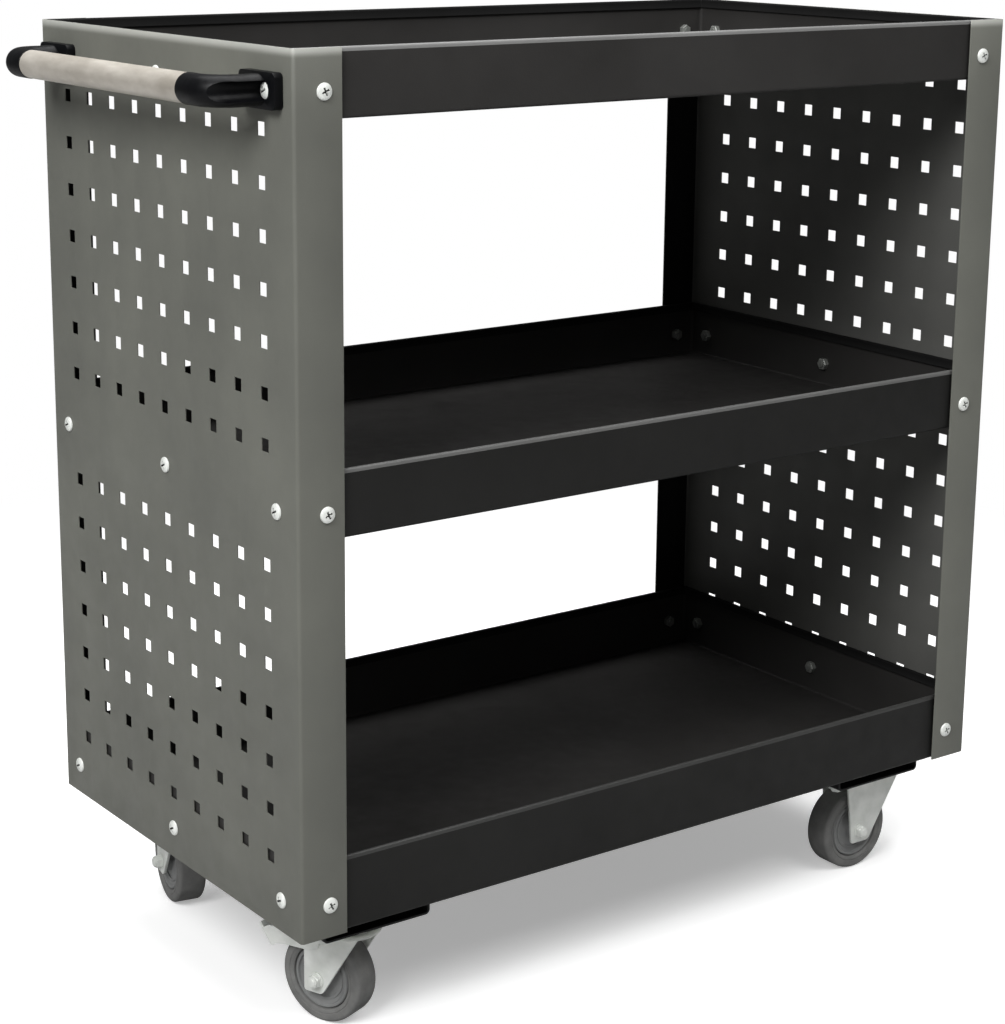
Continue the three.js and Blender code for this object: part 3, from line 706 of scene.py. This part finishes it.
WHEEL_RADIUS = 37.5
WHEEL_HALF = 12.5
HUB_RADIUS = 26
FORK_HALF = 17.5
FORK_SHEET = 2.4
FORK_BEND = 4  # outer radius of the fork's bends
AXLE_HOLE = 4.5
KINGPIN_HOLE = 5.4
CROWN_RADIUS = 27
SWIVEL_REACH = math.sqrt(CROWN_RADIUS ** 2 - FORK_HALF ** 2)  # the crown's circle at the legs
FIXED_REACH = 46
LEG_END = 26.3  # height of the legs' flat lower ends
LEG_CORNER = 2
LEG_LEAN = 0.62  # the leg's slanted edge: run in X for each step in Z
SWIVEL_LEG = (30.2, 30.2, 12.7)  # trailing edge at the top and the end, leading edge there
FIXED_LEG = (17.5, 9, -11.9)
AXLE_HEX = 5.9  # corner radius of the axle's head and nut
TRAIL = 18  # axle behind the kingpin
PLATE_CORNER = 6
PLATE_BOLT_X, PLATE_BOLT_Y = 37, 23
BRAKE_CHEEK = 19.9
BRAKE_SHEET = 2
PEDAL_REACH = 73
PIVOT = (21, 71)  # the pedal's pivot: x and z
plate_low, plate_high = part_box("swivel_front_plate")
PLATE_TOP = plate_high.z / MM
PLATE_BOTTOM = plate_low.z / MM
CROWN_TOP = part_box("swivel_front_fork")[1].z / MM
FIXED_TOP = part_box("fixed_front_fork")[1].z / MM
PLATE_SIZE = ((plate_high.x - plate_low.x) / 2 / MM, (plate_high.y - plate_low.y) / 2 / MM)


def leg_outline(leg, top, reach):
    back, foot, toe = leg
    cut = 0.3 * LEG_CORNER
    return [(back, top + 5), (foot, LEG_END + LEG_CORNER), (foot - cut, LEG_END + cut),
            (foot - LEG_CORNER, LEG_END), (toe + LEG_CORNER, LEG_END),
            (toe + cut, LEG_END + cut), (toe - LEG_CORNER * LEG_LEAN, LEG_END + LEG_CORNER),
            (-reach, LEG_END + (toe + reach) / LEG_LEAN), (-reach, top + 5)]


def fork(name, axle, top, crown):
    """A pressed U over the wheel, trimmed to the legs' outline, with a crown on top."""
    bend = FORK_BEND
    inside = bend - FORK_SHEET
    y = FORK_HALF - bend
    outer = arc((y, top - bend), bend, 0, 90, 8) + arc((-y, top - bend), bend, 90, 180, 8)
    inner = (arc((-y, top - bend), inside, 180, 90, 6) + arc((y, top - bend), inside, 90, 0, 6))
    outline = [(FORK_HALF, 5)] + outer + [(-FORK_HALF, 5), (-FORK_HALF + FORK_SHEET, 5)]
    outline += inner + [(FORK_HALF - FORK_SHEET, 5)]
    item = prism(name, outline, "y", -70, 70)
    moved(item, Matrix.Rotation(math.pi / 2, 4, "Z"))
    reach = SWIVEL_REACH if crown else FIXED_REACH
    leg = SWIVEL_LEG if crown else FIXED_LEG
    combine(item, prism("trim", leg_outline(leg, top, reach), "y", -30, 30), "INTERSECT")
    if crown:
        disc = turned("crown", [(CROWN_RADIUS - 1.2, top - FORK_SHEET), (CROWN_RADIUS, top - 1.6),
                                (CROWN_RADIUS - 0.6, top)], Z_AXIS, 72)
        combine(item, disc, "UNION")
        king = turned("king", [(KINGPIN_HOLE, top - 20), (KINGPIN_HOLE, top + 10)], Z_AXIS, 40)
        combine(item, king, "DIFFERENCE")
    hole = turned("hole", [(AXLE_HOLE, -40), (AXLE_HOLE, 40)], Y_AXIS, 32)
    moved(hole, Matrix.Translation((axle * MM, 0, WHEEL_RADIUS * MM)))
    combine(item, hole, "DIFFERENCE")
    return soften(item, 0.35 * MM)


def plate_piece(name):
    item = prism(name, rounded(*PLATE_SIZE, PLATE_CORNER), "z", PLATE_BOTTOM, PLATE_TOP)
    return soften(item, 0.4 * MM)


def plate_bolt(name, x, y):
    """Hex bolt up through the plate and channel, nut on top."""
    seat = PLATE_BOTTOM - 0.2
    nut = PLATE_TOP + CHANNEL_SHEET + 0.4
    parts = [
        turned(name, [(5.0, seat - 4), (5.6, seat - 3.4), (5.6, seat)], Z_AXIS, 6),
        turned("shank", [(2.9, seat - 1), (2.9, nut + 6.5)], Z_AXIS, 24),
        turned("nut", [(5.6, nut), (5.6, nut + 4.4), (5.0, nut + 5)], Z_AXIS, 6),
    ]
    for piece in (parts[0], parts[2]):
        moved(piece, Matrix.Rotation(math.pi / 6, 4, "Z"))
    item = join(parts)
    moved(item, Matrix.Translation((x * MM, y * MM, 0)))
    return soften(item, 0, angle=28)


def ring_piece(name):
    """Two pressed cups with the ball race's groove between them."""
    low = CROWN_TOP + 0.3
    high = PLATE_BOTTOM - 0.3
    groove = (low + high) / 2
    return soften(turned(name, [
        (KINGPIN_HOLE, low), (21, low), (23.4, low + 1.6), (23.4, groove - 0.7),
        (22, groove - 0.2), (22, groove + 0.2), (24, groove + 0.7), (24, high - 1.4),
        (22.5, high), (KINGPIN_HOLE, high),
    ], Z_AXIS, 72, loop=True), 0, angle=30)


def kingpin_piece(name):
    low = CROWN_TOP - FORK_SHEET - 0.3
    high = PLATE_BOTTOM - 0.3
    return soften(turned(name, [
        (4, low - 3.6), (7, low - 3.2), (8.8, low - 1.6), (9.2, low), (5, low), (5, high),
    ], Z_AXIS, 48), 0, angle=40)


def hub_piece(name):
    """Moulded centre: boss, dished web with a raised ring, rim."""
    half = [(4.3, 14.6), (8.4, 14.6), (9, 14), (9.4, 10), (11, 9.2), (17, 8.8), (17.4, 9.6),
            (19.2, 9.6), (19.6, 8.9), (22, 9.6), (23, 11.2), (24.8, 11.3), (25.6, 10.6),
            (25.8, 9.8)]
    profile = half + [(radius, -height) for radius, height in reversed(half)]
    return soften(turned(name, profile, Y_AXIS, 80, loop=True), 0, angle=30)


def tyre_piece(name):
    """Tread with rounded shoulders and a fine ring moulded into each side."""
    bore, shoulder = HUB_RADIUS + 0.3, 3.4
    flank = [(bore, 10), (bore + 0.5, 11.6), (bore + 1.6, WHEEL_HALF - 0.2), (29.6, WHEEL_HALF),
             (29.9, WHEEL_HALF - 0.4), (30.5, WHEEL_HALF - 0.4), (30.8, WHEEL_HALF)]
    flank += arc((WHEEL_RADIUS - shoulder, WHEEL_HALF - shoulder), shoulder, 90, 8, 8)
    flank.append((WHEEL_RADIUS, 4))
    profile = flank + [(radius, -height) for radius, height in reversed(flank)]
    return soften(turned(name, profile, Y_AXIS, 96, loop=True), 0, angle=30)


def axle_piece(name):
    """Hex head and washer on one leg, washer and locking nut on the other."""
    seat = FORK_HALF + 0.1
    washer = [(3.9, 0), (6.8, 0), (6.8, 1), (3.9, 1)]
    parts = [
        turned(name, [(3.4, -seat - 4.9), (3.4, -seat - 3.9), (3.9, -seat - 3.9),
                      (3.9, seat + 6.9), (3.2, seat + 7.5)], Y_AXIS, 32),
        turned("head", [(4.0, -seat - 5), (5.3, -seat - 5), (AXLE_HEX, -seat - 4.3),
                        (AXLE_HEX, -seat - 1), (4.0, -seat - 1)], Y_AXIS, 6, loop=True),
        turned("washer_a", [(r, -seat - 1 + h) for r, h in washer], Y_AXIS, 40, loop=True),
        turned("washer_b", [(r, seat + h) for r, h in washer], Y_AXIS, 40, loop=True),
        turned("nut", [(4.0, seat + 1), (AXLE_HEX, seat + 1), (AXLE_HEX, seat + 4.4),
                       (5.3, seat + 5), (4.0, seat + 5)], Y_AXIS, 6, loop=True),
        turned("lock", [(4.0, seat + 4.9), (4.9, seat + 4.9), (4.7, seat + 6.4),
                        (4.0, seat + 6.6)], Y_AXIS, 32, loop=True),
    ]
    item = join(parts)
    for material in (ZINC, RECESS_PAINTED_SHADE):
        item.data.materials.append(material)
    for face in item.data.polygons:
        place = face.center / MM
        # Painted shade on the middle of the axle's head.
        if place.y < -seat - 3 and math.hypot(place.x, place.z) < 4.2:
            face.material_index = 1
    moved(item, Matrix.Translation((0, 0, WHEEL_RADIUS * MM)))
    return soften(item, 0, angle=28)


CHEEK_OUTLINE = [(14, 76), (15, 66), (24, 62.5), (42, 61.5), (54, 60), (60, 57.9), (69, 70.2),
                 (64, 73.2), (52, 75), (30, 78.5), (20, 79)]
WEB_OUTLINE = [(31.2, 76.3), (52, 73), (52, 75), (31.2, 78.3)]
TREAD_OUTLINE = [(59.5, 57.5), (61.5, 56.5), (PEDAL_REACH, 72.5), (71.5, 74.5)]
SHOE_OUTLINE = [(38, 74.2), (45, 70.5), (48.5, 68.3), (50.5, 74.4), (38, 76.2)]
SHOE_HALF = 11
TREAD_RIBS = 4


def brake_piece(name):
    """Pressed pedal: cheeks, web, ribbed tread, and a pivot pin on each cheek."""
    inner = BRAKE_CHEEK - BRAKE_SHEET
    item = prism(name, CHEEK_OUTLINE, "y", inner, BRAKE_CHEEK)
    combine(item, prism("cheek", CHEEK_OUTLINE, "y", -BRAKE_CHEEK, -inner), "UNION")
    combine(item, prism("web", WEB_OUTLINE, "y", -BRAKE_CHEEK, BRAKE_CHEEK), "UNION")
    combine(item, prism("tread", TREAD_OUTLINE, "y", -BRAKE_CHEEK, BRAKE_CHEEK), "UNION")
    (low_x, low_z), (high_x, high_z) = TREAD_OUTLINE[1], TREAD_OUTLINE[2]
    along = Vector((high_x - low_x, high_z - low_z)).normalized()
    out = Vector((along.y, -along.x))
    length = math.hypot(high_x - low_x, high_z - low_z)
    for k in range(TREAD_RIBS):
        foot = Vector((low_x, low_z)) + along * length * (k + 0.7) / (TREAD_RIBS + 0.4)
        rib = [foot - along * 0.8 - out * 0.5, foot + along * 0.8 - out * 0.5,
               foot + along * 0.5 + out * 0.5, foot - along * 0.5 + out * 0.5]
        rib = prism("rib", [tuple(p) for p in rib], "y", -BRAKE_CHEEK + 4, BRAKE_CHEEK - 4)
        combine(item, rib, "UNION")
    for side in (-1, 1):
        ends = sorted((side * (FORK_HALF - FORK_SHEET + 0.3), side * (BRAKE_CHEEK + 0.6)))
        pin = turned("pin", [(2.4, ends[0]), (2.4, ends[1])], Y_AXIS, 24)
        moved(pin, Matrix.Translation((PIVOT[0] * MM, 0, PIVOT[1] * MM)))
        combine(item, pin, "UNION")
    return soften(item, 0.25 * MM)


def pad_piece(name):
    """The rubber pad under the web that bears on the tyre."""
    return soften(prism(name, SHOE_OUTLINE, "y", -SHOE_HALF, SHOE_HALF), 0.5 * MM)


def heading_matrix(centre, axle):
    """The caster's own axes in the row frame; the wheel trails at right angles to the axle."""
    trail = Vector((axle[1], -axle[0], 0))
    turn = Matrix(((trail.x, axle[0], 0), (trail.y, axle[1], 0), (0, 0, 1)))
    return Matrix.Translation((centre[0], centre[1], 0)) @ turn.to_4x4()


def fit(item, place, material, body, replaced=()):
    moved(item, place)
    return own(item, material, body, replaced)


def caster(kind, end):
    node = f"{kind}_{end}"
    swivels = kind == "swivel"
    low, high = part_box(f"{node}_plate")
    centre = (low + high) / 2
    plate_place = Matrix.Translation((centre.x, centre.y, 0))
    fit(plate_piece(f"{node}_top_plate"), plate_place, ZINC, "frame", [f"{node}_plate"])
    for k in range(4):
        x = PLATE_BOLT_X * (1 if k % 2 else -1)
        y = PLATE_BOLT_Y * (1 if k // 2 else -1)
        fit(plate_bolt(f"{node}_mounting_bolt_{k + 1}", x, y), plate_place, ZINC, "frame")
    axle = JOINTS[f"{node}_roll"]["axis"]
    place = heading_matrix(centre, axle) if swivels else (
        plate_place @ Matrix.Rotation(math.pi, 4, "Z"))
    body = node if swivels else "frame"
    offset = TRAIL if swivels else 0
    top = CROWN_TOP if swivels else FIXED_TOP
    fit(fork(f"{node}_yoke", offset, top, swivels), place, ZINC, body, [f"{node}_fork"])
    wheel_place = place @ Matrix.Translation((offset * MM, 0, 0))
    fit(axle_piece(f"{node}_axle"), wheel_place, ZINC, body, [f"{node}_axle_bolt"])
    wheel_place = wheel_place @ Matrix.Translation((0, 0, WHEEL_RADIUS * MM))
    wheel = f"wheel_{node}"
    fit(hub_piece(f"{node}_centre"), wheel_place, HUB_GREY, wheel, [f"{node}_hub"])
    fit(tyre_piece(f"{node}_tread"), wheel_place, TYRE_GREY, wheel, [f"{node}_tyre"])
    if swivels:
        fit(ring_piece(f"{node}_race"), plate_place, ZINC, "frame",
            [f"{node}_bearing_ring"])
        fit(kingpin_piece(f"{node}_rivet"), plate_place, ZINC, "frame",
            [f"{node}_kingpin"])
        fit(brake_piece(f"{node}_pedal"), place, ZINC, f"brake_{end}",
            [f"{node}_brake_pedal"])
        fit(pad_piece(f"{node}_pad"), place, PAD_BLACK, f"brake_{end}")


for end_name, _ in ENDS:
    caster("swivel", end_name)
    caster("fixed", end_name)


# ---- floor, light and camera ---------------------------------------------------------

GROUND_HALF = 40  # metres


def ground_plane(name, level):
    """A large level square; gives the object, its node tree and its shader node."""
    corners = ((-1, -1), (1, -1), (1, 1), (-1, 1))
    verts = [(x * GROUND_HALF, y * GROUND_HALF, level) for x, y in corners]
    item = new_object(name, verts, [(0, 1, 2, 3)])
    paint = bpy.data.materials.new(f"{name}_paint")
    paint.use_nodes = True
    shader = paint.node_tree.nodes["Principled BSDF"]
    shader.inputs["Roughness"].default_value = 0.9
    shader.inputs["Specular IOR Level"].default_value = 0.1
    item.data.materials.append(paint)
    return item, paint.node_tree, shader


# The floor that is seen: shaded round the cart, plain white away from it.
SHADED_RADIUS = 0.7
WHITE_RADIUS = 1.5
FLOOR_GLOW = 0.35
seen, seen_tree, seen_shader = ground_plane("floor", 0)
seen_shader.inputs["Base Color"].default_value = (0.95, 0.95, 0.95, 1)
seen_shader.inputs["Emission Color"].default_value = (1, 1, 1, 1)
seen_shader.inputs["Emission Strength"].default_value = FLOOR_GLOW
white = seen_tree.nodes.new("ShaderNodeEmission")
blend = seen_tree.nodes.new("ShaderNodeMixShader")
floor_place = seen_tree.nodes.new("ShaderNodeTexCoord")
distance = seen_tree.nodes.new("ShaderNodeVectorMath")
distance.operation = "LENGTH"
fade = seen_tree.nodes.new("ShaderNodeMapRange")
fade.interpolation_type = "SMOOTHSTEP"
fade.inputs["From Min"].default_value = SHADED_RADIUS
fade.inputs["From Max"].default_value = WHITE_RADIUS
seen_tree.links.new(floor_place.outputs["Object"], distance.inputs[0])
seen_tree.links.new(distance.outputs["Value"], fade.inputs["Value"])
seen_tree.links.new(fade.outputs["Result"], blend.inputs["Fac"])
seen_tree.links.new(seen_shader.outputs["BSDF"], blend.inputs[1])
seen_tree.links.new(white.outputs["Emission"], blend.inputs[2])
seen_tree.links.new(blend.outputs["Shader"],
                    seen_tree.nodes["Material Output"].inputs["Surface"])
seen.visible_diffuse = False
seen.visible_glossy = False
seen.visible_shadow = False

# The floor that throws light back up at the cart.
bounce, _, bounce_shader = ground_plane("floor_bounce", -MM)
bounce_shader.inputs["Base Color"].default_value = (0.4, 0.4, 0.4, 1)
bounce.visible_camera = False


def softbox(name, place, target, size, power):
    light = bpy.data.lights.new(name, "AREA")
    light.shape = "RECTANGLE"
    light.size, light.size_y = size
    light.energy = power
    item = bpy.data.objects.new(name, light)
    item.location = place
    item.rotation_euler = (Vector(target) - Vector(place)).to_track_quat("-Z", "Y").to_euler()
    bpy.context.scene.collection.objects.link(item)


softbox("key", (-2.9, -1.5, 2.9), (0, 0, 0.45), (1.8, 1.8), 150)
softbox("fill", (0.4, -2.4, 3.2), (0, 0, 0.4), (2.2, 1.4), 52)
softbox("top", (0.2, 0.4, 3.6), (0, 0, 0.4), (3, 3), 110)

# A white ground to look at, and a dimmer one to light with.
BACKGROUND_SEEN = 1.0
BACKGROUND_LIGHT = 0.12
world = bpy.data.worlds.new("studio")
world.use_nodes = True
studio = world.node_tree
background = studio.nodes["Background"]
background.inputs["Color"].default_value = (1, 1, 1, 1)
rays = studio.nodes.new("ShaderNodeLightPath")
strength = studio.nodes.new("ShaderNodeMapRange")
strength.inputs["To Min"].default_value = BACKGROUND_LIGHT
strength.inputs["To Max"].default_value = BACKGROUND_SEEN
studio.links.new(rays.outputs["Is Camera Ray"], strength.inputs["Value"])
studio.links.new(strength.outputs["Result"], background.inputs["Strength"])
bpy.context.scene.world = world
bpy.context.scene.view_settings.view_transform = "Standard"

CAMERA_OFFSET = Vector((-1191.0, -1579.4, 886.1)) * MM  # from the middle of the body's base
CAMERA_YAW = 35.618  # degrees from +Y towards +X
CAMERA_PITCH = -13.156
CAMERA_ROLL = 0.390
CAMERA_LENS = 82.6
CAMERA_SENSOR = 36
CAMERA_SHIFT = (0.0289, -0.0833)

camera_data = bpy.data.cameras.new("camera")
camera_data.lens = CAMERA_LENS
camera_data.sensor_width = CAMERA_SENSOR
camera_data.shift_x, camera_data.shift_y = CAMERA_SHIFT
camera = bpy.data.objects.new("camera", camera_data)
bpy.context.scene.collection.objects.link(camera)
camera.matrix_world = (
    Matrix.Translation(CENTRE + CAMERA_OFFSET)
    @ Matrix.Rotation(math.radians(-CAMERA_YAW), 4, "Z")
    @ Matrix.Rotation(math.radians(90 + CAMERA_PITCH), 4, "X")
    @ Matrix.Rotation(math.radians(CAMERA_ROLL), 4, "Z"))
bpy.context.scene.camera = camera
